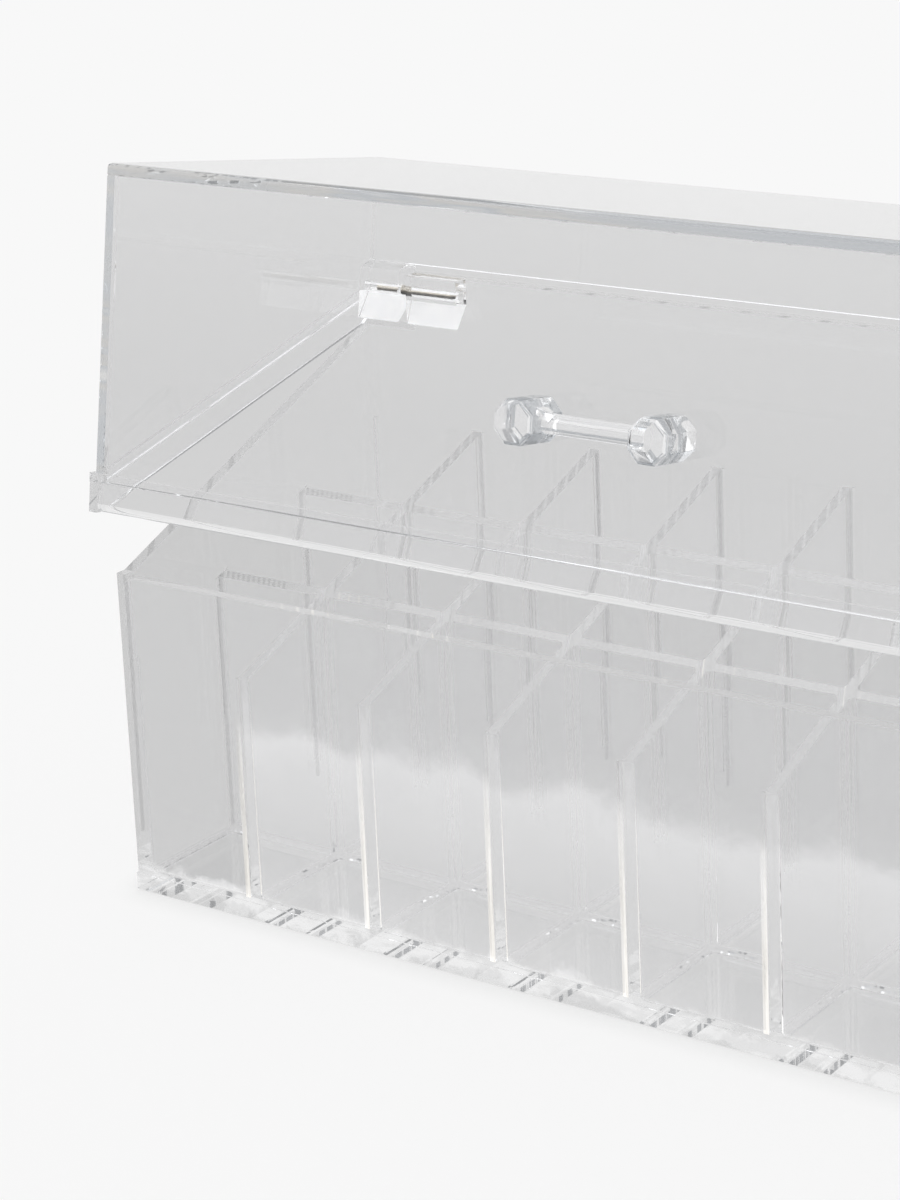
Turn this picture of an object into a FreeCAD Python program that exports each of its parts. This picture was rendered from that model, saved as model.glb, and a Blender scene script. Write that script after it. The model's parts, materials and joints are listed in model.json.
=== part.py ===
import FreeCAD, Part
import os
import re
import Sketcher

# Clear acrylic lipstick organizer: an open box of eight by three cells, cut from flat sheet, with a slanted hinged
# lid. X runs to the right, Y to the back and Z up. The origin is the middle of the floor plate's underside.
# Lengths are millimetres and angles degrees. Heights are above the surface that the organizer stands on. The lid's
# sizes and heights are those of the shut lid; open_angle then turns it about its hinge pins.
SIZES = {
    "body_width": 200.0,
    "body_depth": 73.0,
    "wall": 2.0,                 # sheet of the walls and of the lid
    "base_thick": 3.0,
    "base_step": 0.25,           # the floor plate stands proud of the walls
    "base_corner": 1.0,          # rounding of the floor plate's upright corners
    "front_height": 56.4,
    "side_front_height": 57.0,   # the side walls' rim slopes up from here to the back
    "back_height": 85.0,         # back wall in the notches at its ends, where the lid's knuckles turn
    "back_rise": 10.0,           # the back wall between the notches stands this much higher
    "back_chamfer": 0.8,         # along its outer top edge, so that the lid's back panel swings clear
    "notch_side": 0.7,           # from a notch's inner end to the knuckle
    "side_back_step": 0.1,       # the side walls end this much above the notches
    "divider_thick": 1.8,
    "column_pitch": 25.0,
    "row_pitch": 24.0,
    "column_front_top": 42.0,    # the column dividers' tops slope too
    "column_back_top": 67.0,
    "slot_clearance": 0.05,      # to each side of a sheet that sits in a half-lap slot
    "lid_rise": 23.0,            # pin axis up to the lid's top
    "lid_gap": 0.3,              # between the side walls' rim and the shut lid
    "lid_corner": 2.0,           # rounding of the lid's front corners
    "lid_edge": 1.2,             # rounding of the lid's top edges
    "strip_rise": 4.4,           # pin axis up to the lid's short back panel
    "lip_height": 5.0,           # lower edge strip of the lid, below its panels
    "lip_flange": 1.6,           # how far the strip laps up over the panels
    "lip_step": 0.5,             # the strip stands proud of the panels
    "lip_thick": 1.9,
    "lip_end_run": 2.0,          # slanted rear end of the side strips, clear of the rim
    "open_angle": 9.31,          # how far the lid stands open
    "hinge_inset": 3.5,          # pin axis, in from the back wall's outer face
    "hinge_rise": 7.0,           # pin axis above the notches
    "hinge_front": 1.7,          # pin axis to the flat front of the blocks and knuckles
    "hinge_drop": 5.8,           # pin axis to their lower faces
    "knuckle_inset": 0.3,        # knuckle to the lid's side wall
    "knuckle_width": 8.8,
    "knuckle_round": 4.8,        # rounding of the knuckle's lower back
    "knuckle_lap": 0.4,          # how far the knuckle laps up the inside of the lid's back panel
    "knuckle_drop": 1.0,         # front end of its slanted top, below that panel
    "knuckle_bore": 7.9,
    "hinge_gap": 1.6,            # between a knuckle and its block
    "block_width": 11.1,
    "block_round": 2.3,          # rounding of the block's two back edges
    "pin_radius": 0.9,
    "pin_clearance": 0.05,       # running fit in the knuckle
    "pin_seat": 9.6,             # pin length pressed into the block
    "pin_reach": 5.1,            # pin length inside the knuckle
    "bore_spare": 0.5,           # room past the pin's pressed end
    "knob_across": 6.8,          # between opposite facets
    "knob_height": 8.6,
    "knob_bevel": 0.5,
    "knob_base_bevel": 0.4,
    "knob_span": 23.2,           # centre to centre
    "knob_drop": 31.4,           # below the lid's top
    "rod_radius": 1.6,
    "rod_standoff": 4.2,         # rod axis to the lid's front
    "rod_seat": 2.0,             # rod end inside a knob
    "rod_clearance": 0.03,
}

# Places that several pieces share, in terms of the sizes.
LEFT = "-body_width / 2"
RIGHT = "body_width / 2"
FRONT = "-body_depth / 2"
BACK = "body_depth / 2"
RIM_SLOPE = "(back_height + side_back_step - side_front_height) / (body_depth - wall)"
COLUMN_SLOPE = "(column_back_top - column_front_top) / (body_depth - 2 * wall)"
HINGE_Y = "(body_depth / 2 - hinge_inset)"
HINGE_Z = "(back_height + hinge_rise)"
STRIP_BOTTOM = "(back_height + hinge_rise + strip_rise)"
RIM_START = "(wall - body_depth / 2)"
LID_BOTTOM = "(side_front_height + lid_gap)"
PANEL_BOTTOM = "(side_front_height + lid_gap + lip_height)"
LID_TOP = "(back_height + hinge_rise + lid_rise)"
PANEL_TOP = "(back_height + hinge_rise + lid_rise - wall)"
BACK_TOP = "(back_height + back_rise)"
KNUCKLE_INNER = "(body_width / 2 - wall - knuckle_inset - knuckle_width)"
BLOCK_OUTER = "(body_width / 2 - wall - knuckle_inset - knuckle_width - hinge_gap)"


def rim_at(y):
    """Height of the side walls' rim, which is level over the front wall and slopes up behind it."""
    return f"(side_front_height + {RIM_SLOPE} * ({y} - {RIM_START}))"


def column_top_at(y):
    return f"(column_front_top + {COLUMN_SLOPE} * ({y} + body_depth / 2 - wall))"


def bound(text):
    """Expression text with each size's name tied to its cell in the sheet."""
    return re.sub(r"[a-z_]+", lambda word: f"sizes.{word[0]}" if word[0] in SIZES else word[0], text)


def fill_sheet(doc):
    sheet = doc.addObject("Spreadsheet::Sheet", "sizes")
    for row, (name, value) in enumerate(SIZES.items(), start=1):
        sheet.set(f"A{row}", name)
        sheet.set(f"B{row}", str(value))
        sheet.setAlias(f"B{row}", name)
    doc.recompute()


def new_body(doc, label):
    body = doc.addObject("PartDesign::Body", label)
    body.Label = label
    return body


def new_sketch(body, plane, at):
    """Sketch on the body's own origin plane, moved along that plane's normal."""
    sketch = body.newObject("Sketcher::SketchObject", f"sketch_{len(body.Group)}")
    support = next(item for item in body.Origin.OriginFeatures if item.Role == plane)
    sketch.AttachmentSupport = [(support, "")]
    sketch.MapMode = "FlatFace"
    sketch.setExpression(".AttachmentOffset.Base.z", bound(at))
    return sketch


def tie(sketch, kind, geometry, point, expression):
    """Distance of a sketch point from the sketch's origin, tied to the sheet."""
    index = sketch.addConstraint(Sketcher.Constraint(kind, -1, 1, geometry, point, 1.0))
    sketch.setExpression(f"Constraints[{index}]", bound(expression))


def outline(body, plane, at, corners):
    """Closed outline of straight edges through corners given as pairs of expressions."""
    sketch = new_sketch(body, plane, at)
    count = len(corners)
    start = FreeCAD.Vector(10, 0, 0)
    turn = FreeCAD.Rotation(FreeCAD.Vector(0, 0, 1), 360.0 / count)
    for index in range(count):
        end = turn.multVec(start)
        sketch.addGeometry(Part.LineSegment(start, end))
        start = end
    for index in range(count):
        sketch.addConstraint(Sketcher.Constraint("Coincident", index, 2, (index + 1) % count, 1))
    for index, (across, up) in enumerate(corners):
        tie(sketch, "DistanceX", index, 1, across)
        tie(sketch, "DistanceY", index, 1, up)
    return sketch


def circle(body, plane, at, centre, radius):
    sketch = new_sketch(body, plane, at)
    sketch.addGeometry(Part.Circle(FreeCAD.Vector(1, 1, 0), FreeCAD.Vector(0, 0, 1), 1.0))
    tie(sketch, "DistanceX", 0, 3, centre[0])
    tie(sketch, "DistanceY", 0, 3, centre[1])
    index = sketch.addConstraint(Sketcher.Constraint("Radius", 0, 1.0))
    sketch.setExpression(f"Constraints[{index}]", bound(radius))
    return sketch


def pad(body, sketch, length):
    """Material along the sketch plane's normal: +X on the YZ plane, -Y on XZ, +Z on XY."""
    feature = body.newObject("PartDesign::Pad", f"pad_{len(body.Group)}")
    feature.Profile = sketch
    feature.setExpression("Length", bound(length))
    return feature


def pocket(doc, body, sketch, length, along_normal=False):
    """Cut of the given depth, against the plane's normal unless along_normal is set."""
    doc.recompute()
    before = body.Shape.Volume
    feature = body.newObject("PartDesign::Pocket", f"pocket_{len(body.Group)}")
    feature.Profile = sketch
    feature.Reversed = along_normal
    feature.setExpression("Length", bound(length))
    doc.recompute()
    if body.Shape.Volume > before - 1e-6:
        raise RuntimeError(f"{body.Label}: {feature.Name} cuts nothing")
    return feature


def soften(doc, body, kind, size, wanted):
    """Fillet or chamfer on every edge that wanted() picks by its middle and its direction."""
    doc.recompute()
    base = body.Tip
    names = []
    for index, edge in enumerate(base.Shape.Edges, start=1):
        first, last = edge.Vertexes[0].Point, edge.Vertexes[-1].Point
        run = last - first
        if isinstance(edge.Curve, Part.Line) and wanted((first + last) * 0.5, run.normalize()):
            names.append(f"Edge{index}")
    feature = body.newObject(f"PartDesign::{kind}", f"{kind.lower()}_{len(body.Group)}")
    feature.Base = (base, names)
    feature.setExpression("Radius" if kind == "Fillet" else "Size", bound(size))
    doc.recompute()
    return feature


def sheet_part(doc, label, plane, at, thick, corners):
    """Flat piece of sheet: one outline and one thickness."""
    body = new_body(doc, label)
    pad(body, outline(body, plane, at, corners), thick)
    return body


def box_corners(low_across, high_across, low_up, high_up):
    return [(low_across, low_up), (high_across, low_up), (high_across, high_up), (low_across, high_up)]


def swing(body):
    """Turns a piece of the lid about the hinge pins by the angle that the lid stands open."""
    body.Placement = FreeCAD.Placement(FreeCAD.Vector(), FreeCAD.Rotation(FreeCAD.Vector(1, 0, 0), -1))
    cosine, sine = "cos(open_angle)", "sin(open_angle)"
    back = f"{HINGE_Y} * (1 - {cosine}) - {HINGE_Z} * {sine}"
    rise = f"{HINGE_Z} * (1 - {cosine}) + {HINGE_Y} * {sine}"
    body.setExpression(".Placement.Rotation.Angle", bound("-open_angle"))
    body.setExpression(".Placement.Base.y", bound(back))
    body.setExpression(".Placement.Base.z", bound(rise))
    return body


def make_walls(doc):
    inner_left, inner_right = f"{LEFT} + wall", f"{RIGHT} - wall"
    base = sheet_part(doc, "base_panel", "XY_Plane", "0 * wall", "base_thick", box_corners(
        f"{LEFT} - base_step", f"{RIGHT} + base_step", f"{FRONT} - base_step", f"{BACK} + base_step"))
    soften(doc, base, "Fillet", "base_corner", lambda middle, run: abs(run.z) > 0.9)
    front = sheet_part(doc, "front_panel", "XZ_Plane", "body_depth / 2 - wall", "wall", box_corners(
        inner_left, inner_right, "base_thick", "front_height"))
    notch = f"({KNUCKLE_INNER} - notch_side)"
    back = sheet_part(doc, "back_panel", "XZ_Plane", f"-({BACK})", "wall", [
        (inner_left, "base_thick"), (inner_right, "base_thick"), (inner_right, "back_height"),
        (notch, "back_height"), (notch, BACK_TOP), (f"-{notch}", BACK_TOP),
        (f"-{notch}", "back_height"), (inner_left, "back_height")])
    doc.recompute()
    span = back.Shape.BoundBox
    soften(doc, back, "Chamfer", "back_chamfer",
           lambda middle, run: middle.y > span.YMax - 0.01 and middle.z > span.ZMax - 0.01)
    side_outline = [(FRONT, "base_thick"), (BACK, "base_thick"), (BACK, "back_height + side_back_step"),
                    (RIM_START, "side_front_height"), (FRONT, "side_front_height")]
    left = sheet_part(doc, "left_side_panel", "YZ_Plane", LEFT, "wall", side_outline)
    right = sheet_part(doc, "right_side_panel", "YZ_Plane", inner_right, "wall", side_outline)
    return [base, front, back, left, right]


def row_place(side):
    """Middle of a row divider: side is -1 for the front one and +1 for the back one."""
    return f"({side} * row_pitch / 2)"


def lap_height(side):
    """Height at which the slots of the two crossing dividers meet."""
    return f"((base_thick + {column_top_at(row_place(side))}) / 2)"


def make_dividers(doc):
    pieces = []
    first, last = f"({FRONT} + wall)", f"({BACK} - wall)"
    half_slot = "(divider_thick / 2 + slot_clearance)"
    # A column divider stands front to back. Two slots in its slanted top take the row dividers.
    column_outline = [(first, "base_thick"), (last, "base_thick"), (last, "column_back_top")]
    for side in (1, -1):
        behind, before = f"{row_place(side)} + {half_slot}", f"{row_place(side)} - {half_slot}"
        column_outline += [(behind, column_top_at(behind)), (behind, lap_height(side)),
                           (before, lap_height(side)), (before, column_top_at(before))]
    column_outline.append((first, "column_front_top"))
    for number in range(1, 8):
        place = f"{number - 4} * column_pitch - divider_thick / 2"
        pieces.append(sheet_part(doc, f"column_divider_{number}", "YZ_Plane", place, "divider_thick",
                                 column_outline))
    # A row divider runs from side to side. Slots in its lower edge ride down over the column dividers.
    for side, label in ((-1, "row_divider_front"), (1, "row_divider_back")):
        rear = f"{row_place(side)} + divider_thick / 2"
        body = sheet_part(doc, label, "XZ_Plane", f"-({rear})", "divider_thick", box_corners(
            f"{LEFT} + wall", f"{RIGHT} - wall", "base_thick", column_top_at(row_place(side))))
        slot = outline(body, "XZ_Plane", f"-({rear})", box_corners(
            f"-3 * column_pitch - {half_slot}", f"-3 * column_pitch + {half_slot}",
            "base_thick / 2", lap_height(side)))
        cut = pocket(doc, body, slot, "divider_thick", along_normal=True)
        pattern = body.newObject("PartDesign::LinearPattern", "slots")
        pattern.Originals = [cut]
        pattern.Direction = (slot, ["H_Axis"])
        pattern.Occurrences = 7
        pattern.setExpression("Length", bound("6 * column_pitch"))
        body.Tip = pattern
        pieces.append(body)
    return pieces


def start_of(side, near, width):
    """Left face of a piece that lies between near and near + width from the middle, on one side."""
    return f"-({near} + {width})" if side < 0 else near


def make_hinges(doc):
    blocks, pins, knuckles = [], [], []
    front_face, low_face = f"{HINGE_Y} - hinge_front", f"{HINGE_Z} - hinge_drop"
    for side, name in ((-1, "left"), (1, "right")):
        # The block is cemented to the inside of the back wall. Its back is rounded above and below the joint.
        near = f"({BLOCK_OUTER} - block_width)"
        block = sheet_part(doc, f"hinge_block_{name}", "YZ_Plane", start_of(side, near, "block_width"),
                           "block_width", box_corners(front_face, f"{BACK} - wall", low_face, BACK_TOP))
        doc.recompute()
        back_face = block.Shape.BoundBox.YMax
        soften(doc, block, "Fillet", "block_round",
               lambda middle, run: abs(run.x) > 0.9 and middle.y > back_face - 0.01)
        mouth = f"{side} * {BLOCK_OUTER}"
        bore = circle(block, "YZ_Plane", mouth, (HINGE_Y, HINGE_Z), "pin_radius")
        pocket(doc, block, bore, "pin_seat + bore_spare", along_normal=side < 0)
        blocks.append(block)

        pin = new_body(doc, f"hinge_pin_{name}")
        near, length = f"({BLOCK_OUTER} - pin_seat)", "(pin_seat + hinge_gap + pin_reach)"
        pad(pin, circle(pin, "YZ_Plane", start_of(side, near, length), (HINGE_Y, HINGE_Z), "pin_radius"),
            length)
        pins.append(pin)

        # The knuckle hangs from the lid's back panel, whose inside it laps, into the back wall's notch. Its
        # lower back is rounded to turn clear of the notch.
        knuckle = sheet_part(doc, f"lid_knuckle_{name}", "YZ_Plane",
                             start_of(side, KNUCKLE_INNER, "knuckle_width"), "knuckle_width", [
            (front_face, low_face), (BACK, low_face), (BACK, STRIP_BOTTOM), (f"{BACK} - wall", STRIP_BOTTOM),
            (f"{BACK} - wall", f"{STRIP_BOTTOM} + knuckle_lap"),
            (front_face, f"{STRIP_BOTTOM} - knuckle_drop")])
        doc.recompute()
        span = knuckle.Shape.BoundBox
        soften(doc, knuckle, "Fillet", "knuckle_round",
               lambda middle, run: middle.y > span.YMax - 0.01 and middle.z < span.ZMin + 0.01)
        mouth = f"{side} * {KNUCKLE_INNER}"
        bore = circle(knuckle, "YZ_Plane", mouth, (HINGE_Y, HINGE_Z), "pin_radius + pin_clearance")
        pocket(doc, knuckle, bore, "knuckle_bore", along_normal=side > 0)
        knuckles.append(swing(knuckle))
    return blocks + pins, knuckles


def make_lid_panels(doc):
    inner_left, inner_right = f"{LEFT} + wall", f"{RIGHT} - wall"
    top = sheet_part(doc, "lid_top_panel", "XY_Plane", PANEL_TOP, "wall", box_corners(LEFT, RIGHT, FRONT, BACK))
    soften(doc, top, "Fillet", "lid_corner", lambda middle, run: abs(run.z) > 0.9 and middle.y < 0)
    span = top.Shape.BoundBox
    soften(doc, top, "Fillet", "lid_edge", lambda middle, run: middle.z > span.ZMax - 0.01 and abs(run.x) > 0.9
           and middle.y < 0)
    front = sheet_part(doc, "lid_front_panel", "XZ_Plane", "body_depth / 2 - wall", "wall", box_corners(
        inner_left, inner_right, PANEL_BOTTOM, PANEL_TOP))
    back = sheet_part(doc, "lid_back_panel", "XZ_Plane", f"-({BACK})", "wall", box_corners(
        inner_left, inner_right, STRIP_BOTTOM, PANEL_TOP))
    side_outline = [(FRONT, PANEL_BOTTOM), (RIM_START, PANEL_BOTTOM),
                    (BACK, f"{rim_at(BACK)} + lid_gap + lip_height"), (BACK, PANEL_TOP), (FRONT, PANEL_TOP)]
    left = sheet_part(doc, "lid_left_panel", "YZ_Plane", LEFT, "wall", side_outline)
    right = sheet_part(doc, "lid_right_panel", "YZ_Plane", inner_right, "wall", side_outline)
    return [swing(body) for body in (top, front, back, left, right)]


def make_lips(doc):
    # Each lip is an angle strip: the lid's panel stands on it, and its thin flange laps over the panel's face.
    pieces = []
    outer_y = f"({FRONT} - lip_step)"
    outer_x = "(body_width / 2 + lip_step)"
    butt = f"({outer_x} - lip_thick)"
    front = sheet_part(doc, "lid_front_lip", "XZ_Plane", f"-({outer_y} + lip_thick)", "lip_thick", box_corners(
        f"-{butt}", butt, LID_BOTTOM, PANEL_BOTTOM))
    flange = outline(front, "XZ_Plane", f"-({FRONT})", box_corners(
        f"-{outer_x}", outer_x, PANEL_BOTTOM, f"{PANEL_BOTTOM} + lip_flange"))
    pad(front, flange, "lip_step")
    pieces.append(front)
    end_y = f"({BACK} - lip_end_run)"
    for side, label in ((-1, "lid_left_lip"), (1, "lid_right_lip")):
        strip = sheet_part(doc, label, "YZ_Plane", start_of(side, butt, "lip_thick"), "lip_thick", [
            (outer_y, LID_BOTTOM), (RIM_START, LID_BOTTOM), (end_y, f"{rim_at(end_y)} + lid_gap"),
            (BACK, f"{rim_at(BACK)} + lid_gap + lip_end_run / 2"),
            (BACK, f"{rim_at(BACK)} + lid_gap + lip_height"), (RIM_START, PANEL_BOTTOM),
            (outer_y, PANEL_BOTTOM)])
        flange = outline(strip, "YZ_Plane", start_of(side, RIGHT, "lip_step"), [
            (FRONT, PANEL_BOTTOM), (RIM_START, PANEL_BOTTOM),
            (BACK, f"{rim_at(BACK)} + lid_gap + lip_height"),
            (BACK, f"{rim_at(BACK)} + lid_gap + lip_height + lip_flange"),
            (RIM_START, f"{PANEL_BOTTOM} + lip_flange"), (FRONT, f"{PANEL_BOTTOM} + lip_flange")])
        pad(strip, flange, "lip_step")
        pieces.append(strip)
    return [swing(body) for body in pieces]


def make_handle(doc):
    pieces = []
    knob_z = f"({LID_TOP} - knob_drop)"
    rod_y = f"({FRONT} - rod_standoff)"
    near = "(knob_span / 2 - knob_across / 2)"
    for side, name in ((-1, "left"), (1, "right")):
        knob = new_body(doc, f"handle_knob_{name}")
        corner = "(knob_across / 2 / cos(22.5))"
        facets = [(f"{side} * knob_span / 2 + {corner} * cos({45 * turn + 22.5})",
                   f"{knob_z} + {corner} * sin({45 * turn + 22.5})") for turn in range(8)]
        pad(knob, outline(knob, "XZ_Plane", f"-({FRONT})", facets), "knob_height")
        doc.recompute()
        span = knob.Shape.BoundBox
        soften(doc, knob, "Chamfer", "knob_bevel", lambda middle, run: middle.y < span.YMin + 0.01)
        soften(doc, knob, "Chamfer", "knob_base_bevel", lambda middle, run: middle.y > span.YMax - 0.01)
        socket = circle(knob, "YZ_Plane", f"{side} * {near}", (rod_y, knob_z), "rod_radius + rod_clearance")
        pocket(doc, knob, socket, "rod_seat", along_normal=side > 0)
        pieces.append(swing(knob))
    rod = new_body(doc, "handle_rod")
    length = f"(2 * ({near} + rod_seat))"
    pad(rod, circle(rod, "YZ_Plane", f"-({near} + rod_seat)", (rod_y, knob_z), "rod_radius"), length)
    pieces.append(swing(rod))
    return pieces


def check(doc, pieces):
    for item in doc.Objects:
        if "Invalid" in item.State or "Error" in item.State:
            raise RuntimeError(f"{item.Label}: {item.State}")
    for body in pieces:
        shape = body.Shape
        if shape.isNull() or not shape.isValid() or len(shape.Solids) != 1:
            raise RuntimeError(f"{body.Label}: not one sound solid")


def main():
    doc = FreeCAD.newDocument("lipstick_organizer")
    fill_sheet(doc)
    fixed, knuckles = make_hinges(doc)
    pieces = make_walls(doc) + make_dividers(doc) + fixed + make_lid_panels(doc) + make_lips(doc)
    pieces += knuckles + make_handle(doc)
    doc.recompute()
    check(doc, pieces)
    os.makedirs("parts", exist_ok=True)
    for body in pieces:
        body.Shape.exportStep(f"parts/{body.Label}.step")
    print(f"{len(pieces)} pieces written")


main()
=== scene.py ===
import json
import math

import bmesh
import bpy
import numpy as np
from mathutils import Matrix, Vector

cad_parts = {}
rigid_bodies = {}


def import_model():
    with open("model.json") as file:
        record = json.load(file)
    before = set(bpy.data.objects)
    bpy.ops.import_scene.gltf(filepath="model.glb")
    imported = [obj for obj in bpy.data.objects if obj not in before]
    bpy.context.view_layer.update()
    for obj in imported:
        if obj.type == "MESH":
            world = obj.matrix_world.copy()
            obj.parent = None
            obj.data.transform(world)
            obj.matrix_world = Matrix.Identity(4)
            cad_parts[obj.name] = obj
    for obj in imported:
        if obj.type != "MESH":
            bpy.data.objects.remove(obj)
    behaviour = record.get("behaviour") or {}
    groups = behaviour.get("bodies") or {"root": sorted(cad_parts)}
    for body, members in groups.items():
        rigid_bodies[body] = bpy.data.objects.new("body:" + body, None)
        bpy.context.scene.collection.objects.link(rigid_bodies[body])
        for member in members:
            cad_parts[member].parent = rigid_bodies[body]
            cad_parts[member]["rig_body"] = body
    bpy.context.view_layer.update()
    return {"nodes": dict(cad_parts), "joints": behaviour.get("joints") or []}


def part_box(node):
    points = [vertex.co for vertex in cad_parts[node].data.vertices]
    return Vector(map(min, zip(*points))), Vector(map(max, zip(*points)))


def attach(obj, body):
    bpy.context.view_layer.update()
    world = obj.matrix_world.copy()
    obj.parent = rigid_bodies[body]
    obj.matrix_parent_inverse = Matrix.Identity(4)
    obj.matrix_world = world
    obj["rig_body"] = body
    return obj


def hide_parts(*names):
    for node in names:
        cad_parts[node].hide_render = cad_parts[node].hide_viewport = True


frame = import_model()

MM = 0.001
NODES = frame["nodes"]
BODY_OF = {node.name: node["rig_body"] for node in NODES.values()}
HINGE = frame["joints"][0]
HINGE_AXIS = Vector(HINGE["pos_m"])
OPEN_ANGLE = math.radians(-HINGE["range_deg"][0])
TO_HINGE = Matrix.Translation(-HINGE_AXIS)
LID_TURN = TO_HINGE.inverted() @ Matrix.Rotation(-OPEN_ANGLE, 4, "X") @ TO_HINGE

# Camera, fitted to the photo

FOCAL_PX = 3197.12
FRAME_HEIGHT_PX = 1200
CENTRE_Y_PX = 400
YAW = math.radians(36.37)
PITCH = math.radians(14.94)
ROLL = math.radians(-2.59)
EYE = Vector((248.5, -413.46, 220.42)) * MM
SENSOR = 36.0


def add_camera():
    forward = Vector((-math.sin(YAW) * math.cos(PITCH), math.cos(YAW) * math.cos(PITCH), -math.sin(PITCH)))
    right = Vector((math.cos(YAW), math.sin(YAW), 0))
    up = right.cross(forward)
    x_axis = right * math.cos(ROLL) + up * math.sin(ROLL)
    y_axis = -right * math.sin(ROLL) + up * math.cos(ROLL)
    data = bpy.data.cameras.new("camera")
    data.sensor_width = SENSOR
    data.sensor_fit = "AUTO"
    data.lens = FOCAL_PX / FRAME_HEIGHT_PX * SENSOR
    data.shift_x = 0
    data.shift_y = (CENTRE_Y_PX - FRAME_HEIGHT_PX / 2) / FRAME_HEIGHT_PX
    data.clip_start = 0.01
    data.clip_end = 20
    camera = bpy.data.objects.new("camera", data)
    turn = Matrix((x_axis, y_axis, -forward)).transposed()
    camera.matrix_world = Matrix.Translation(EYE) @ turn.to_4x4()
    bpy.context.scene.collection.objects.link(camera)
    bpy.context.scene.camera = camera


# Shader building blocks

def new_material(name):
    material = bpy.data.materials.new(name)
    material.use_nodes = True
    material.node_tree.nodes.clear()
    return material, material.node_tree


def feed(tree, socket, value):
    """Gives the socket another node's output, or a constant."""
    if isinstance(value, bpy.types.NodeSocket):
        tree.links.new(value, socket)
    else:
        socket.default_value = value


def add(tree, kind, inputs=None, **settings):
    node = tree.nodes.new(kind)
    for key, value in settings.items():
        setattr(node, key, value)
    for key, value in (inputs or {}).items():
        feed(tree, node.inputs[key], value)
    return node


def object_place(tree):
    return add(tree, "ShaderNodeTexCoord").outputs["Object"]


def height_of(tree, vector):
    return add(tree, "ShaderNodeSeparateXYZ", {"Vector": vector}).outputs["Z"]


def noise(tree, vector, scale, detail=2.0, roughness=0.5):
    inputs = {"Vector": vector, "Scale": scale, "Detail": detail, "Roughness": roughness}
    return add(tree, "ShaderNodeTexNoise", inputs).outputs["Fac"]


def streaks(tree, vector, scale, detail):
    """Noise that is drawn out along the axes with a small scale."""
    stretched = add(tree, "ShaderNodeMapping", {"Vector": vector, "Scale": scale}).outputs["Vector"]
    return noise(tree, stretched, 1.0, detail)


def ranged(tree, value, old=(0, 1), new=(0, 1)):
    """The value taken from one range to another, and held at its ends."""
    inputs = {"Value": value, "From Min": old[0], "From Max": old[1], "To Min": new[0], "To Max": new[1]}
    return add(tree, "ShaderNodeMapRange", inputs).outputs["Result"]


def calc(tree, operation, first, second):
    return add(tree, "ShaderNodeMath", {0: first, 1: second}, operation=operation).outputs["Value"]


def ramp(tree, value, stops):
    """The colour at value among (position, colour) stops."""
    node = add(tree, "ShaderNodeValToRGB", {"Fac": value})
    elements = node.color_ramp.elements
    while len(elements) < len(stops):
        elements.new(0.5)
    for element, (position, colour) in zip(elements, stops):
        element.position = position
        element.color = (*colour, 1)
    return node.outputs["Color"]


def mix_colour(tree, factor, first, second, blend_type="MIX"):
    node = add(tree, "ShaderNodeMix", data_type="RGBA", blend_type=blend_type)
    sockets = [node.inputs["Factor"]] + [i for i in node.inputs if i.type == "RGBA"]
    for socket, value in zip(sockets, (factor, first, second)):
        feed(tree, socket, value)
    return next(o for o in node.outputs if o.type == "RGBA")


def mix_shader(tree, factor, first, second):
    return add(tree, "ShaderNodeMixShader", {0: factor, 1: first, 2: second}).outputs["Shader"]


def emission(tree, colour, strength):
    return add(tree, "ShaderNodeEmission", {"Color": colour, "Strength": strength}).outputs["Emission"]


def transparent(tree, colour):
    return add(tree, "ShaderNodeBsdfTransparent", {"Color": colour}).outputs["BSDF"]


def show(tree, shader):
    add(tree, "ShaderNodeOutputMaterial", {"Surface": shader})


# Materials

CLEAR_TINT = (0.995, 0.995, 0.997, 1)
SHADOW_TINT = (0.97, 0.97, 0.97, 1)
ACRYLIC_IOR = 1.49
HAZE = 0.012
HAZE_SCALE = 160
WAVE_DEPTH = 0.4 * MM
WAVE_SCALE = 22
SHADING_HEIGHT = 130 * MM
SLIGHT_BLUE = 1.003
CLOUD_SCALE, CLOUD_DETAIL, CLOUD_ROUGHNESS = 60, 6, 0.65
END_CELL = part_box("column_divider_1")[0].x + 0.4 * MM
END_FADE = 1.5 * MM
FIRST_SHEET = 1.5
NO_BOUNCE = 0.5
# How bright the painted glow is that ends sight caught inside a sheet.
CAUGHT_LIGHT = 0.92
CAUGHT_DEPTHS = (22, 22)
CAUGHT_HEIGHTS = (3 * MM, 20 * MM)
# Saw streaks along X on the band round the lid's front; the lighter ones are painted glints.
STREAK_SCALE = (18, 220, 220)
SAW_STREAKS_AND_GLINTS = [(0.38, (0.93, 0.96, 1.0)), (0.50, (1.0, 1.0, 1.0)), (0.56, (1.12, 1.06, 0.98)),
          (0.60, (0.86, 0.90, 0.95)), (0.66, (1.45, 1.42, 1.36))]


def painted_shading_ramp(tree, height, levels):
    """The painted light and shade at that height among (height in mm, shading) levels. A plain number is a
    slightly blue grey.
    """
    stops = []
    for z, painted_shading in levels:
        colour = painted_shading if isinstance(painted_shading, tuple) else (painted_shading, painted_shading, painted_shading * SLIGHT_BLUE)
        stops.append((z * MM / SHADING_HEIGHT, colour))
    return ramp(tree, height, stops)


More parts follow.
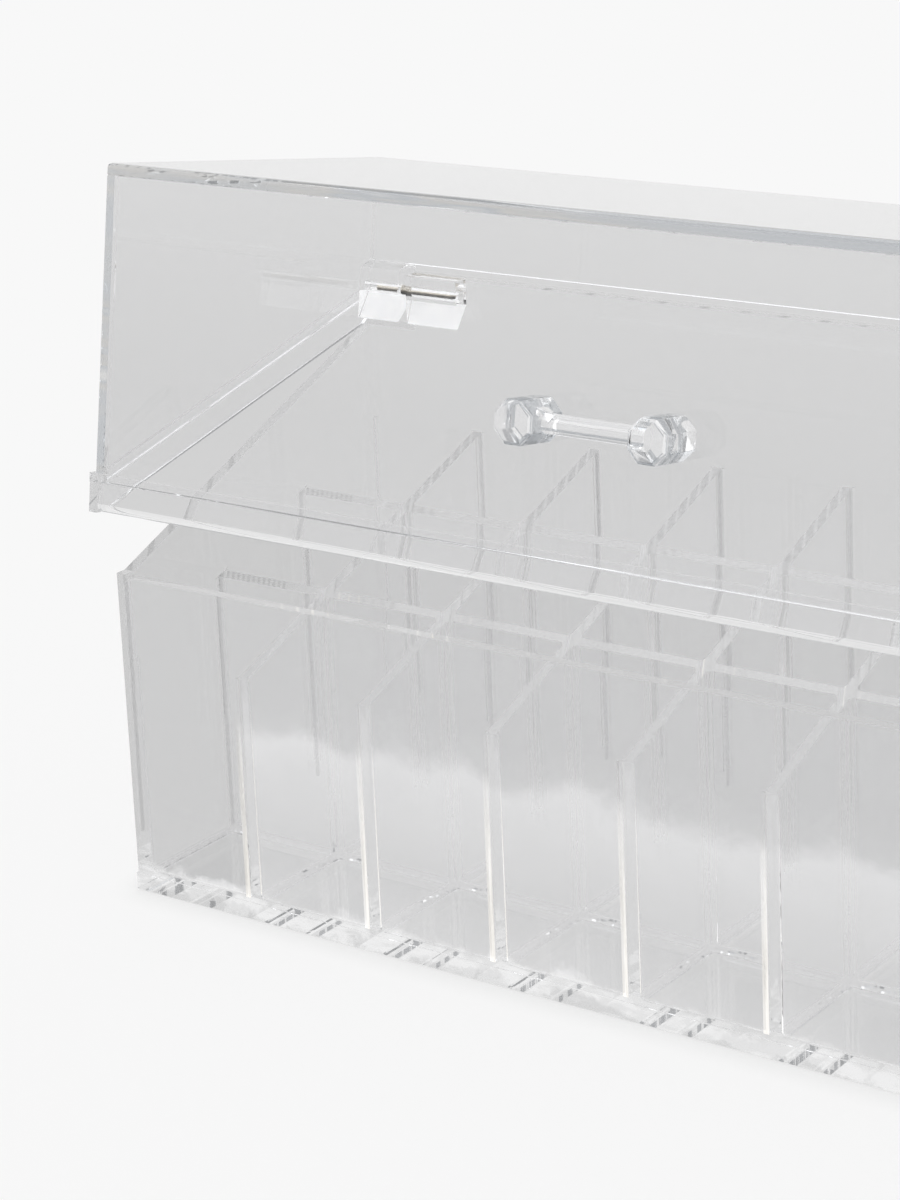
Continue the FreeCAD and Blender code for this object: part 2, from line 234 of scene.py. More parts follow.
def painted_sheet_shading(tree, place, levels, end_levels, blotch, streak_amount):
    """Painted light and shade by height with cloudy limits, another set in the cell at the left end, and saw
    streaks with painted glints along X.
    """
    split = add(tree, "ShaderNodeSeparateXYZ", {"Vector": place}).outputs
    cloud = noise(tree, place, CLOUD_SCALE, CLOUD_DETAIL, CLOUD_ROUGHNESS)
    height = calc(tree, "ADD", split["Z"], ranged(tree, cloud, new=(-blotch, blotch)))
    height = calc(tree, "DIVIDE", height, SHADING_HEIGHT)
    painted_shading = painted_shading_ramp(tree, height, levels)
    if end_levels:
        past_end = ranged(tree, split["X"], (END_CELL, END_CELL + END_FADE))
        painted_shading = mix_colour(tree, past_end, painted_shading_ramp(tree, height, end_levels), painted_shading)
    if streak_amount:
        streaked = ramp(tree, streaks(tree, place, STREAK_SCALE, 3), SAW_STREAKS_AND_GLINTS)
        painted_shading = mix_colour(tree, streak_amount, painted_shading, streaked, "MULTIPLY")
    return painted_shading


def first_sheet_shading(tree, path, painted_shading):
    """The painted light and shade for sight that has passed no sheet yet, and a clear one behind that."""
    first = calc(tree, "LESS_THAN", path["Transmission Depth"], FIRST_SHEET)
    direct = calc(tree, "LESS_THAN", path["Diffuse Depth"], NO_BOUNCE)
    return mix_colour(tree, calc(tree, "MULTIPLY", first, direct), CLEAR_TINT, painted_shading)


def polished(tree, place, colour, wave):
    """A clear, polished body with a hair of haze and slow waves on its surface."""
    waves = noise(tree, place, WAVE_SCALE)
    bump = add(tree, "ShaderNodeBump", {"Strength": wave, "Distance": WAVE_DEPTH, "Height": waves})
    return add(tree, "ShaderNodeBsdfPrincipled", {
        "IOR": ACRYLIC_IOR,
        "Transmission Weight": 1.0,
        "Base Color": colour,
        "Roughness": ranged(tree, noise(tree, place, HAZE_SCALE), new=(0, HAZE)),
        "Normal": bump.outputs["Normal"],
    }).outputs["BSDF"]


def acrylic(name, levels, end_levels=None, depths=CAUGHT_DEPTHS, wave=0.02, blotch=0.0, streak_amount=0.0):
    """Clear sheet, with the painted light and shade of levels for the first sheet that sight passes. Sight
    that is caught inside for more than depths bounces, which gives the number low down and high up, ends in
    a painted glow.
    """
    material, tree = new_material(name)
    place = object_place(tree)
    path = add(tree, "ShaderNodeLightPath").outputs
    painted_shading = painted_sheet_shading(tree, place, levels, end_levels, blotch, streak_amount)
    shown = first_sheet_shading(tree, path, painted_shading)
    glass = polished(tree, place, shown, wave)
    sheet = mix_shader(tree, path["Is Shadow Ray"], glass, transparent(tree, SHADOW_TINT))
    limit = ranged(tree, height_of(tree, place), CAUGHT_HEIGHTS, depths)
    caught = calc(tree, "GREATER_THAN", path["Ray Depth"], limit)
    # Sight caught inside ends in a painted glow, in the sheet's painted shading.
    half_painted_shading = add(tree, "ShaderNodeGamma", {"Color": shown, "Gamma": 0.5}).outputs["Color"]
    show(tree, mix_shader(tree, caught, sheet, emission(tree, half_painted_shading, CAUGHT_LIGHT)))
    return material


RING_SCALE = (40, 2600, 2600)
PIN_ROUGHNESS = (0.12, 0.3)
# The pin's painted shade below and painted highlight above, across this height band.
PIN_BAND = (91.1 * MM, 92.9 * MM)
PIN_PAINTED_LIGHT = [(0.30, (0.02, 0.02, 0.02)), (0.52, (0.16, 0.14, 0.11)), (0.62, (0.95, 0.90, 0.80)),
             (1.0, (0.74, 0.71, 0.66))]


def steel(name):
    """Drawn rod, with painted shade below and a painted highlight above, with fine rings along X and a
    little wear.
    """
    material, tree = new_material(name)
    place = object_place(tree)
    grain = streaks(tree, place, RING_SCALE, 3)
    wear = ramp(tree, grain, [(0, (0.75, 0.74, 0.73)), (1, (1.0, 0.99, 0.98))])
    painted_light_tones = ramp(tree, ranged(tree, height_of(tree, place), PIN_BAND), PIN_PAINTED_LIGHT)
    metal = add(tree, "ShaderNodeBsdfPrincipled", {
        "Metallic": 1.0,
        "Base Color": mix_colour(tree, 1.0, painted_light_tones, wear, "MULTIPLY"),
        "Roughness": ranged(tree, grain, new=PIN_ROUGHNESS),
    })
    show(tree, metal.outputs["BSDF"])
    return material


# The hinge facet's painted glow.
FACET_GLOW = 0.84
FACET_GRAIN = 420
SAWN_GRAIN = 900


def glowing_facet(name):
    """A white, grainy facet with a painted glow, standing in for the light gathered inside its block."""
    material, tree = new_material(name)
    cloud = noise(tree, object_place(tree), FACET_GRAIN, 3)
    tone = ramp(tree, cloud, [(0.3, (0.93, 0.935, 0.945)), (0.7, (1.0, 1.0, 1.0))])
    paper = add(tree, "ShaderNodeBsdfDiffuse", {"Color": tone}).outputs["BSDF"]
    both = add(tree, "ShaderNodeAddShader", {0: paper, 1: emission(tree, tone, FACET_GLOW)})
    show(tree, both.outputs["Shader"])
    return material


def sawn_edge(name):
    """The sawn end of a divider against a wall: it takes a little light out, unevenly."""
    material, tree = new_material(name)
    grain = noise(tree, object_place(tree), SAWN_GRAIN, 3)
    show(tree, transparent(tree, ramp(tree, grain, [(0, (0.89, 0.89, 0.89)), (1, (0.95, 0.95, 0.95))])))
    return material


# Painted highlights in the cells' front corners.
HIGHLIGHT_TOP = 36 * MM
HIGHLIGHT_FULL = 10 * MM
HIGHLIGHT_GLOW = 1.2
HIGHLIGHT_GRAIN = (900, 900, 60)
HIGHLIGHT_PATCHES = (0.35, 0.6)
HIGHLIGHT_COVER = (0.25, 1.0)


def painted_highlight_strip(name):
    """A painted highlight in a cell's front corner: a glowing strip, bright low down and clear higher up."""
    material, tree = new_material(name)
    place = object_place(tree)
    grain = streaks(tree, place, HIGHLIGHT_GRAIN, 4)
    fading = ranged(tree, height_of(tree, place), (HIGHLIGHT_TOP, HIGHLIGHT_FULL))
    uneven = ranged(tree, grain, HIGHLIGHT_PATCHES, HIGHLIGHT_COVER)
    cover = calc(tree, "MULTIPLY", fading, uneven)
    tone = ramp(tree, grain, [(0.3, (1.0, 0.95, 0.86)), (0.7, (1.0, 1.0, 1.0))])
    clear = transparent(tree, (1, 1, 1, 1))
    show(tree, mix_shader(tree, cover, clear, emission(tree, tone, HIGHLIGHT_GLOW)))
    return material


# Painted light and shade by height in mm, for the first sheet that sight passes: for the body, its cell at
# the left end, the lid and the band round the lid's front

# In the body: a painted highlight in the base plate, and lighter painted reflections of the floor in the
# cells up to about 33 mm; the end cell has the highlight but no reflections.
BODY_LEVELS = [(0, 0.70), (0.5, 0.74), (0.7, 0.93), (2.9, 0.93), (4, 0.74), (13, 0.69), (23, 0.735),
               (33, 0.80), (36, 0.66), (41, 0.635), (90, 0.63)]
END_CELL_LEVELS = [(0, 0.70), (0.5, 0.74), (0.7, 0.92), (2.9, 0.92), (4, 0.635), (90, 0.635)]
LID_LEVELS = [(40, 0.69), (72, 0.675), (90, 0.665), (108, 0.69), (122, 0.72)]
# The band round the lid's front is a darker painted shade.
BAND_LEVELS = [(60, (0.50, 0.512, 0.52)), (125, (0.51, 0.525, 0.54))]


def even(painted_shading):
    """The same tint at every height of the lid."""
    return [(40, painted_shading), (125, painted_shading)]


BODY_ACRYLIC = acrylic("clear_acrylic_body", BODY_LEVELS, END_CELL_LEVELS, depths=(5, 12), blotch=8 * MM)
LID_ACRYLIC = acrylic("clear_acrylic_lid", LID_LEVELS)
# The top panel has an even, darker painted shade.
TOP_ACRYLIC = acrylic("clear_acrylic_top", even(0.61), wave=0.003)
BAND_ACRYLIC = acrylic("clear_acrylic_band", BAND_LEVELS, streak_amount=1.0)
# The lip's rounded lower edge has no painted shade, as a painted highlight.
EDGE_HIGHLIGHT_ACRYLIC = acrylic("clear_acrylic_edge_highlight", even(1.0))
PULL_ACRYLIC = acrylic("clear_acrylic_pull", even(0.76))
# Painted shade and painted highlight copies of the pulls' acrylic, for their facets.
PULL_PAINTED_SHADE = acrylic("clear_acrylic_pull_painted_shade", even((0.35, 0.37, 0.39)))
PULL_PAINTED_HIGHLIGHT = acrylic("clear_acrylic_pull_painted_highlight", even(1.0))
PIN_STEEL = steel("bright_steel")
GLOWING_FACET = glowing_facet("painted_glow_facet")

# Mesh building blocks

GAP = 0.012 * MM
ARRIS = 0.15 * MM
NEAR = 0.01 * MM
SAME_POINT = 1e-6
CUT_POINT = 1e-7
BESIDE = 0.05 * MM
SAME_PLANE = math.radians(0.5)
SHARP = 40
BORED_SHARP = 30
SMOOTH = 30
BORE_TURN = (math.radians(1), math.radians(30))


def plane_mesh(node):
    """The CAD node's shape with each flat face as one polygon."""
    shape = bmesh.new()
    shape.from_mesh(NODES[node].data)
    bmesh.ops.remove_doubles(shape, verts=shape.verts, dist=SAME_POINT)
    bmesh.ops.dissolve_limit(shape, angle_limit=SAME_PLANE, verts=shape.verts, edges=shape.edges)
    shape.normal_update()
    return shape


def draw_in(shape, gap):
    """Moves each face inward by gap, so that pieces that touch keep a thin film of air between them."""
    shape.normal_update()
    moves = []
    for vertex in shape.verts:
        normals = np.array([f.normal[:] for f in vertex.link_faces])
        move, *_ = np.linalg.lstsq(normals, np.full(len(normals), -gap), rcond=1e-3)
        moves.append(Vector(move))
    for vertex, move in zip(shape.verts, moves):
        vertex.co += move


def in_bore(face):
    """True for a facet of a drilled hole, which meets the next facet at a slight hollow angle."""
    hollow = [e.calc_face_angle(0) for e in face.edges if not e.is_convex]
    return any(BORE_TURN[0] < angle < BORE_TURN[1] for angle in hollow)


def bevel(shape, edges, width, segments=1, material=0):
    bmesh.ops.bevel(shape, geom=edges, offset=width, offset_type="OFFSET", segments=segments, profile=0.5,
                    affect="EDGES", clamp_overlap=True, material=material)


def sharp_edges(shape, least):
    """The convex edges that turn by more than least degrees."""
    return [e for e in shape.edges
            if len(e.link_faces) == 2 and e.is_convex and e.calc_face_angle(0) > math.radians(least)]


def round_edges(shape, least):
    """Takes the arris off the sharp edges, apart from those of bores."""
    edges = [e for e in sharp_edges(shape, least) if not any(in_bore(f) for f in e.link_faces)]
    if edges:
        bevel(shape, edges, ARRIS)


def prism(outline, x0, x1):
    """A solid between x0 and x1 with that outline of (y, z) corners."""
    shape = bmesh.new()
    left = [shape.verts.new((x0, y, z)) for y, z in outline]
    right = [shape.verts.new((x1, y, z)) for y, z in outline]
    shape.faces.new(left)
    shape.faces.new(reversed(right))
    for i in range(len(outline)):
        j = (i + 1) % len(outline)
        shape.faces.new((left[i], left[j], right[j], right[i]))
    bmesh.ops.recalc_face_normals(shape, faces=shape.faces)
    return shape


def block(low, high):
    (x0, y0, z0), (x1, y1, z1) = low, high
    return prism([(y0, z0), (y1, z0), (y1, z1), (y0, z1)], x0, x1)


def object_from(shape, name):
    mesh = bpy.data.meshes.new(name)
    shape.to_mesh(mesh)
    shape.free()
    obj = bpy.data.objects.new(name, mesh)
    bpy.context.scene.collection.objects.link(obj)
    return obj


def joined(shapes, name):
    whole = bmesh.new()
    for shape in shapes:
        part = bpy.data.meshes.new("part")
        shape.to_mesh(part)
        shape.free()
        whole.from_mesh(part)
        bpy.data.meshes.remove(part)
    return object_from(whole, name)


def combine(shape, tool, operation):
    """Cuts or adds tool, an object, and returns the result as a bmesh."""
    base = object_from(shape, "base")
    modifier = base.modifiers.new("combine", "BOOLEAN")
    modifier.object = tool
    modifier.operation = operation
    modifier.solver = "EXACT"
    evaluated = base.evaluated_get(bpy.context.evaluated_depsgraph_get())
    mesh = bpy.data.meshes.new_from_object(evaluated)
    result = bmesh.new()
    result.from_mesh(mesh)
    bpy.data.meshes.remove(mesh)
    for obj in (base, tool):
        bpy.data.objects.remove(obj)
    bmesh.ops.remove_doubles(result, verts=result.verts, dist=CUT_POINT)
    return result


def piece_from(shape, name, body, materials, replaced, smooth=0):
    """A piece of acrylic in place of CAD nodes, smooth over edges that turn by less than smooth degrees."""
    bmesh.ops.recalc_face_normals(shape, faces=shape.faces)
    piece = object_from(shape, name)
    for material in materials:
        piece.data.materials.append(material)
    if smooth:
        piece.data.polygons.foreach_set("use_smooth", [True] * len(piece.data.polygons))
        piece.data.set_sharp_from_angle(angle=math.radians(smooth))
    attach(piece, body)
    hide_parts(*replaced)
    return piece


# The organizer's body

WELD_FILLET = 0.9 * MM
SHELL_CHAMFER = 0.12 * MM
PAST_EDGE = 1 * MM
FAR_ABOVE = 200 * MM
COLUMNS = [f"column_divider_{i}" for i in range(1, 8)]
ROWS = ["row_divider_front", "row_divider_back"]
WALLS = ["base_panel", "front_panel", "back_panel", "left_side_panel", "right_side_panel"]


def corners(node):
    return [v.co for v in NODES[node].data.vertices]


def rounded_pit(low, high):
    """A cell's hollow: round at its upright corners and round its floor."""
    shape = block(low, high)
    top = high[2]
    edges = [e for e in shape.edges if any(v.co.z < top - NEAR for v in e.verts)]
    bevel(shape, edges, WELD_FILLET, segments=4)
    return shape


def cell_pits(x_ends, y_ends, floor):
    """The hollows between the walls and the dividers, as one object."""
    columns = [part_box(node) for node in COLUMNS]
    rows = [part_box(node) for node in ROWS]
    xs = [x_ends[0]] + [x for low, high in columns for x in (low.x, high.x)] + [x_ends[1]]
    ys = [y_ends[0]] + [y for low, high in rows for y in (low.y, high.y)] + [y_ends[1]]
    pits = []
    for x0, x1 in zip(xs[::2], xs[1::2]):
        for y0, y1 in zip(ys[::2], ys[1::2]):
            pits.append(rounded_pit((x0, y0, floor), (x1, y1, FAR_ABOVE)))
    return joined(pits, "pits")


def top_heights(node):
    """How high a panel's sloping top is at its front and at its back."""
    low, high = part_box(node)
    front = max(v.z for v in corners(node) if v.y < low.y + NEAR)
    back = max(v.z for v in corners(node) if v.y > high.y - NEAR)
    return front, back


def solid_body():
    """The block between the walls' outsides, under the side walls' rim, on its base plate."""
    left_low, left_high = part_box("left_side_panel")
    right_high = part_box("right_side_panel")[1]
    base_low, base_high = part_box("base_panel")
    rim_low, rim_high = top_heights("left_side_panel")
    inner_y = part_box("front_panel")[1].y
    in_base = base_high.z / 2
    side = [(left_low.y, in_base), (left_low.y, rim_low), (inner_y, rim_low), (left_high.y, rim_high),
            (left_high.y, in_base)]
    shape = prism(side, left_low.x, right_high.x)
    return combine(shape, object_from(block(base_low, base_high), "foot"), "UNION")


def raised_end():
    """The X at which the back wall's raised middle ends, and a notch begins."""
    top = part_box("back_panel")[1].z
    return max(v.x for v in corners("back_panel") if v.z > top - NEAR)


def air_above(inner_x):
    """All that is open between the side walls, above the front wall, the dividers and the notches."""
    front_low, front_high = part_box("front_panel")
    back_low, back_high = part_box("back_panel")
    divider_low, divider_high = top_heights(COLUMNS[0])
    notch_top = max(v.z for v in corners("back_panel") if v.x > raised_end() + NEAR)
    outline = [(front_low.y - PAST_EDGE, front_high.z), (front_high.y, front_high.z),
               (front_high.y, divider_low), (back_low.y, divider_high), (back_low.y, notch_top),
               (back_high.y + PAST_EDGE, notch_top), (back_high.y + PAST_EDGE, FAR_ABOVE),
               (front_low.y - PAST_EDGE, FAR_ABOVE)]
    return object_from(prism(outline, *inner_x), "air")


def raised_middle():
    """The back wall between its notches, with the bevel along its top."""
    low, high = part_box("back_panel")
    start = top_heights(COLUMNS[0])[1]
    bevel_z = top_heights("back_panel")[1]
    bevel_y = max(v.y for v in corners("back_panel") if v.z > high.z - NEAR)
    outline = [(low.y, start), (high.y, start), (high.y, bevel_z), (bevel_y, high.z), (low.y, high.z)]
    return object_from(prism(outline, -raised_end(), raised_end()), "raised")


def make_shell():
    """The organizer's welded walls and dividers, with the fillets that the welds leave in each cell."""
    inner_x = (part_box("left_side_panel")[1].x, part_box("right_side_panel")[0].x)
    inner_y = (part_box("front_panel")[1].y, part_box("back_panel")[0].y)
    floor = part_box("base_panel")[1].z
    shape = combine(solid_body(), air_above(inner_x), "DIFFERENCE")
    shape = combine(shape, raised_middle(), "UNION")
    shape = combine(shape, cell_pits(inner_x, inner_y, floor), "DIFFERENCE")
    bmesh.ops.dissolve_limit(shape, angle_limit=SAME_PLANE, verts=shape.verts, edges=shape.edges)
    shape.normal_update()
    bevel(shape, sharp_edges(shape, SHARP), SHELL_CHAMFER)
    piece_from(shape, "organizer_shell", "organizer", [BODY_ACRYLIC], [*WALLS, *COLUMNS, *ROWS])


SEAM_EDGE = 0.08 * MM
SEAM_THICK = 0.03 * MM
# Size and place of the painted highlight strips.
HIGHLIGHT_WIDTH = 1 * MM
HIGHLIGHT_GAP = 0.1 * MM
HIGHLIGHT_BACK = (0.05 * MM, 0.1 * MM)


def strip_piece(name, strips, material):
    piece = joined(strips, name)
    piece.data.materials.append(material)
    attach(piece, "organizer")


def make_seams():
    """The ends of the dividers, where they meet the back wall and the side walls."""
    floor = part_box("base_panel")[1].z + WELD_FILLET
    wall_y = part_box("back_panel")[0].y
    wall_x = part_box("left_side_panel")[1].x
    strips = []
    for node in COLUMNS:
        low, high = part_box(node)
        strips.append(block((low.x + SEAM_EDGE, wall_y - 2 * SEAM_THICK, floor),
                            (high.x - SEAM_EDGE, wall_y - SEAM_THICK, high.z - 3 * SEAM_EDGE)))
    for node in ROWS:
        low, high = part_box(node)
        for x in (wall_x + SEAM_THICK, -wall_x - 2 * SEAM_THICK):
            strips.append(block((x, low.y + SEAM_EDGE, floor),
                                (x + SEAM_THICK, high.y - SEAM_EDGE, high.z - 3 * SEAM_EDGE)))
    strip_piece("divider_seams", strips, sawn_edge("sawn_edge"))


def make_painted_highlights():
    """Painted highlights, as glowing strips, beside each divider's front end."""
    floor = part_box("base_panel")[1].z + HIGHLIGHT_GAP
    wall_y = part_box("front_panel")[1].y
    highlight_strips = []
    for node in COLUMNS:
        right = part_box(node)[0].x - HIGHLIGHT_GAP
        highlight_strips.append(block((right - HIGHLIGHT_WIDTH, wall_y + HIGHLIGHT_BACK[0], floor),
                           (right, wall_y + HIGHLIGHT_BACK[1], HIGHLIGHT_TOP)))
    strip_piece("divider_painted_highlights", highlight_strips, painted_highlight_strip("painted_highlight_strip"))


# Hinges

BORE_RADIUS = 0.95 * MM
BORE_SIDES = 28
BLOCK_BORE = 10.1 * MM
KNUCKLE_BORE = 7.9 * MM
BLOCK_FACET = (0.2 * MM, 4.0 * MM)
KNUCKLE_FACET = (0.8 * MM, 4.8 * MM)
KNUCKLE_FRONT_TOP = 3.4 * MM
KNUCKLE_BACK_TOP = 4.4 * MM
KNUCKLE_STEP = 0.4 * MM
FACET_FACE = 0.98


def block_outline(node):
    """A hinge block's (y, z) corners, with the slanted facet at its lower back as the second side."""
    low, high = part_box(node)
    foot, rise = BLOCK_FACET
    return [(low.y, low.z), (low.y + foot, low.z), (high.y, low.z + rise), (high.y, high.z), (low.y, high.z)]


def knuckle_outline(node):
    """The same for a knuckle, with the lid shut. It reaches through its notch to the back wall's outside."""
    front, foot_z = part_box(node.replace("lid_knuckle", "hinge_block"))[0].yz
    inside, outside = (corner.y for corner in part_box("back_panel"))
    foot, rise = KNUCKLE_FACET
    top = HINGE_AXIS.z + KNUCKLE_BACK_TOP
    return [(front, foot_z), (front + foot, foot_z), (outside, foot_z + rise), (outside, top), (inside, top),
            (inside, top + KNUCKLE_STEP), (front, HINGE_AXIS.z + KNUCKLE_FRONT_TOP)]


def bore(x0, x1):
    angles = [2 * math.pi * i / BORE_SIDES for i in range(BORE_SIDES)]
    outline = [(HINGE_AXIS.y + BORE_RADIUS * math.cos(angle), HINGE_AXIS.z + BORE_RADIUS * math.sin(angle))
               for angle in angles]
    return object_from(prism(outline, x0, x1), "bore")


def hinge_shape(node, outline, bore_depth):
    """A drilled block of that outline. Its slanted facet has the second material, with a painted glow."""
    low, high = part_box(node)
    shape = prism(outline, low.x, high.x)
    if node.endswith("left"):
        hole = bore(high.x - bore_depth, high.x + PAST_EDGE)
    else:
        hole = bore(low.x - PAST_EDGE, low.x + bore_depth)
    shape = combine(shape, hole, "DIFFERENCE")
    bmesh.ops.dissolve_limit(shape, angle_limit=SAME_PLANE, verts=shape.verts, edges=shape.edges)
    draw_in(shape, GAP)
    round_edges(shape, BORED_SHARP)
    shape.normal_update()
    (y0, z0), (y1, z1) = outline[1:3]
    slope = Vector((0, z1 - z0, y0 - y1)).normalized()
    for face in shape.faces:
        face.material_index = int(face.normal.dot(slope) > FACET_FACE)
    return shape


def make_hinges():
    for end in ("left", "right"):
        node = f"hinge_block_{end}"
        shape = hinge_shape(node, block_outline(node), BLOCK_BORE)
        piece_from(shape, node + "_sheet", "organizer", [BODY_ACRYLIC, GLOWING_FACET], [node], smooth=SMOOTH)
        node = f"lid_knuckle_{end}"
        shape = hinge_shape(node, knuckle_outline(node), KNUCKLE_BORE)
        bmesh.ops.transform(shape, matrix=LID_TURN, verts=shape.verts)
        piece_from(shape, node + "_sheet", "lid", [LID_ACRYLIC, GLOWING_FACET], [node], smooth=SMOOTH)
        pin = NODES[f"hinge_pin_{end}"]
        pin.data.materials.clear()
        pin.data.materials.append(PIN_STEEL)


# Lid

LID_ROUNDING = 0.8 * MM
LIP_ROUNDING = 1.6 * MM
LIP_RUN = 100 * MM
KNOB_FACE = 0.97
KNOB_BEVEL = -0.2
BAND_FACE = 0.3
# Which facets of a knob, and of the rod, get painted shade (1) or a painted highlight (2), in turn round
# them.
KNOB_PAINTED_REFLECTIONS = (0, 2, 1, 0, 1, 2, 1, 1)
ROD_PAINTED_REFLECTIONS = (0, 0, 0, 0, 2, 0, 2, 1, 0, 2, 1, 0)


def flat_piece(node, materials):
    """The node's own shape, a hair smaller and with its arrises off."""
    shape = plane_mesh(node)
    draw_in(shape, GAP)
    round_edges(shape, SHARP)
    return piece_from(shape, node + "_sheet", BODY_OF[node], materials, [node], smooth=SMOOTH)


def shut_panel(node):
    """A lid panel as it lies with the lid shut, with the ends of its box. The top panel is a plain block."""
    shape = plane_mesh(node)
    bmesh.ops.transform(shape, matrix=LID_TURN.inverted(), verts=shape.verts)
    low = Vector([min(v.co[i] for v in shape.verts) for i in range(3)])
    high = Vector([max(v.co[i] for v in shape.verts) for i in range(3)])
    if node == "lid_top_panel":
        shape.free()
        shape = block(low, high)
    draw_in(shape, GAP)
    return shape, low, high


def outer_edges(node, shape, low, high):
    """A panel's upright edge at the lid's front corner. The top panel has both, and its upper edges too."""
    def upright(edge, x):
        return all(v.co.y < low.y + BESIDE and abs(v.co.x - x) < BESIDE for v in edge.verts)

    def along_top(edge):
        on_top = all(v.co.z > high.z - BESIDE for v in edge.verts)
        at_back = all(v.co.y > high.y - BESIDE for v in edge.verts)
        return on_top and not at_back

    if node == "lid_top_panel":
        return [e for e in shape.edges if upright(e, low.x) or upright(e, high.x) or along_top(e)]
    outer = low.x if node == "lid_left_panel" else high.x
    return [e for e in shape.edges if upright(e, outer)]


def make_banded(node, material):
    """A panel with rounded outer edges. Its front edge is the band round the lid's front, with a darker
    painted shade and saw streaks with painted glints.
    """
    shape, low, high = shut_panel(node)
    bevel(shape, outer_edges(node, shape, low, high), LID_ROUNDING, segments=3)
    bmesh.ops.transform(shape, matrix=LID_TURN, verts=shape.verts)
    round_edges(shape, SHARP)
    piece = piece_from(shape, node + "_sheet", "lid", [material, BAND_ACRYLIC], [node])
    forward = LID_TURN.to_3x3() @ Vector((0, -1, 0))
    for face in piece.data.polygons:
        if face.normal.dot(forward) > BAND_FACE:
            face.material_index = 1


def make_front_lip(node):
    """The front lip, whose lower front edge is rounded and carries a painted highlight: acrylic without the
    painted shade.
    """
    shape = plane_mesh(node)
    draw_in(shape, GAP)
    long_edges = [e for e in shape.edges if e.calc_length() > LIP_RUN]
    lowest = max(long_edges, key=lambda e: -sum(v.co.y + v.co.z for v in e.verts))
    bevel(shape, [lowest], LIP_ROUNDING, segments=3, material=1)
    round_edges(shape, SHARP)
    piece_from(shape, node + "_sheet", "lid", [LID_ACRYLIC, EDGE_HIGHLIGHT_ACRYLIC], [node], smooth=SMOOTH)


def make_pull(node):
    """A knob or the rod. Its facets take plain, painted-shade and painted-highlight copies of the acrylic in
    turn, as painted reflections.
    """
    piece = flat_piece(node, [PULL_ACRYLIC, PULL_PAINTED_SHADE, PULL_PAINTED_HIGHLIGHT])
    is_rod = node == "handle_rod"
    painted_light_tones = ROD_PAINTED_REFLECTIONS if is_rod else KNOB_PAINTED_REFLECTIONS
    for face in piece.data.polygons:
        normal = LID_TURN.to_3x3().transposed() @ face.normal
        if abs(normal.y) < KNOB_FACE:
            across = normal.y if is_rod else normal.x
            turn = math.degrees(math.atan2(normal.z, across)) % 360
            front_bevel = normal.y <= KNOB_BEVEL
            face.material_index = painted_light_tones[int(turn * len(painted_light_tones) / 360 + front_bevel) % len(painted_light_tones)]


def make_lid():
    for node in ("handle_knob_left", "handle_knob_right", "handle_rod"):
        make_pull(node)
    flat_piece("lid_back_panel", [LID_ACRYLIC])
    make_front_lip("lid_front_lip")
    flat_piece("lid_front_panel", [LID_ACRYLIC])
    for side in ("left", "right"):
        flat_piece(f"lid_{side}_lip", [LID_ACRYLIC])
        make_banded(f"lid_{side}_panel", LID_ACRYLIC)
    make_banded("lid_top_panel", TOP_ACRYLIC)


# Stage and light

BACKGROUND = 0.939
PAPER = (BACKGROUND, BACKGROUND, BACKGROUND, 1)
WHITE = (1, 1, 1, 1)
FLOOR_SIZE = 6
FLOOR_DROP = 0.2 * MM
FLOOR_GLOW = 0.92
CONTACT_REACH = 6 * MM
CONTACT_SHADE = 0.80
BACKDROP_TOP = 0.34
ROOM_LEVELS = ((0.38, 0.52), (0.70, 0.45), (0.76, 1.8), (1.0, 1.9))
ROOM_TINT = (0.985, 1, 1.02)
SIDE_BOX = Vector((-0.8, -0.35, 0.5))
SIDE_BOX_EDGE = (0.90, 0.94)
SIDE_BOX_LEVEL = 1.7
BOUNCES = 28
CLEAR_BOUNCES = 48


def seen_in_acrylic(tree, path):
    """1 for sight that a surface mirrors or lets through."""
    return calc(tree, "MAXIMUM", path["Is Glossy Ray"], path["Is Transmission Ray"])


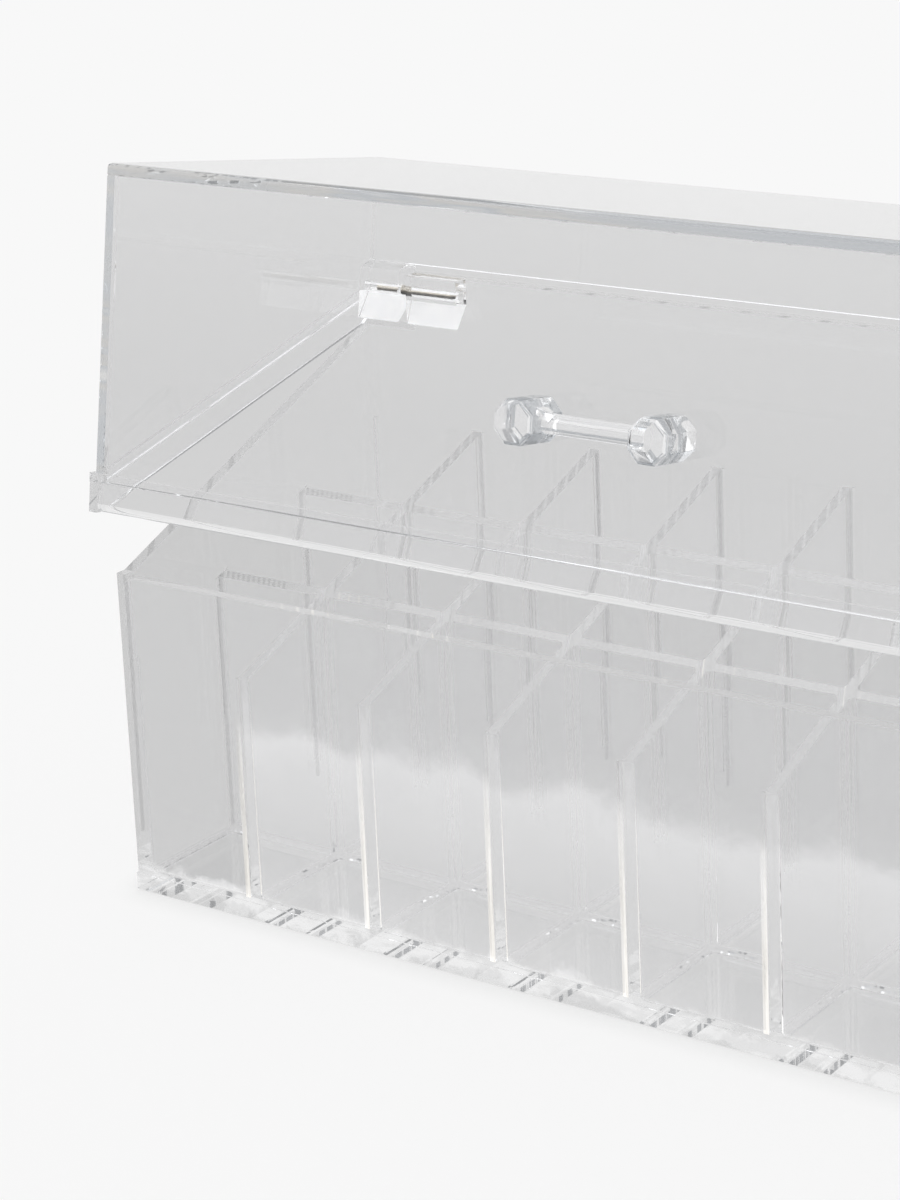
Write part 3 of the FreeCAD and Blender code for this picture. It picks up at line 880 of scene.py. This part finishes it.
def stage_floor():
    """Plain paper. The camera sees it almost evenly lit, with a soft contact shade round the object."""
    shape = bmesh.new()
    bmesh.ops.create_grid(shape, x_segments=1, y_segments=1, size=FLOOR_SIZE)
    floor = object_from(shape, "floor")
    floor.location.z = -FLOOR_DROP
    material, tree = new_material("floor")
    path = add(tree, "ShaderNodeLightPath").outputs
    shiny = seen_in_acrylic(tree, path)
    open_sky = add(tree, "ShaderNodeAmbientOcclusion", {"Distance": CONTACT_REACH}).outputs["AO"]
    strength = calc(tree, "MAXIMUM", ranged(tree, open_sky, new=(CONTACT_SHADE, 1)), shiny)
    share = calc(tree, "MAXIMUM", calc(tree, "MULTIPLY", path["Is Camera Ray"], FLOOR_GLOW), shiny)
    paper = add(tree, "ShaderNodeBsdfDiffuse", {"Color": PAPER}).outputs["BSDF"]
    show(tree, mix_shader(tree, share, paper, emission(tree, PAPER, strength)))
    floor.data.materials.append(material)


def world_light():
    """A pale backdrop all round, a wide soft box overhead, another to the left, and dimmer room between."""
    world = bpy.data.worlds.new("studio")
    bpy.context.scene.world = world
    world.use_nodes = True
    tree = world.node_tree
    tree.nodes.clear()

    def background(colour, strength=1.0):
        node = add(tree, "ShaderNodeBackground", {"Color": colour, "Strength": strength})
        return node.outputs["Background"]

    path = add(tree, "ShaderNodeLightPath").outputs
    direction = add(tree, "ShaderNodeTexCoord").outputs["Generated"]
    height = height_of(tree, direction)
    stops = [(0.0, PAPER[:3]), (BACKDROP_TOP, PAPER[:3])]
    stops += [(position, tuple(level * share for share in ROOM_TINT)) for position, level in ROOM_LEVELS]
    facing = {0: direction, 1: SIDE_BOX.normalized()}
    to_side = add(tree, "ShaderNodeVectorMath", facing, operation="DOT_PRODUCT").outputs["Value"]
    in_box = ranged(tree, to_side, SIDE_BOX_EDGE)
    room = background(ramp(tree, height, stops))
    studio = mix_shader(tree, in_box, room, background(WHITE, SIDE_BOX_LEVEL))
    indirect = mix_shader(tree, seen_in_acrylic(tree, path), background(WHITE), studio)
    shown = mix_shader(tree, path["Is Camera Ray"], indirect, background(PAPER))
    add(tree, "ShaderNodeOutputWorld", {"Surface": shown})


def set_render():
    scene = bpy.context.scene
    scene.view_settings.view_transform = "Standard"
    scene.cycles.max_bounces = BOUNCES
    scene.cycles.transmission_bounces = BOUNCES
    scene.cycles.glossy_bounces = BOUNCES
    scene.cycles.transparent_max_bounces = CLEAR_BOUNCES


add_camera()
make_shell()
make_seams()
make_painted_highlights()
make_hinges()
make_lid()
stage_floor()
world_light()
set_render()
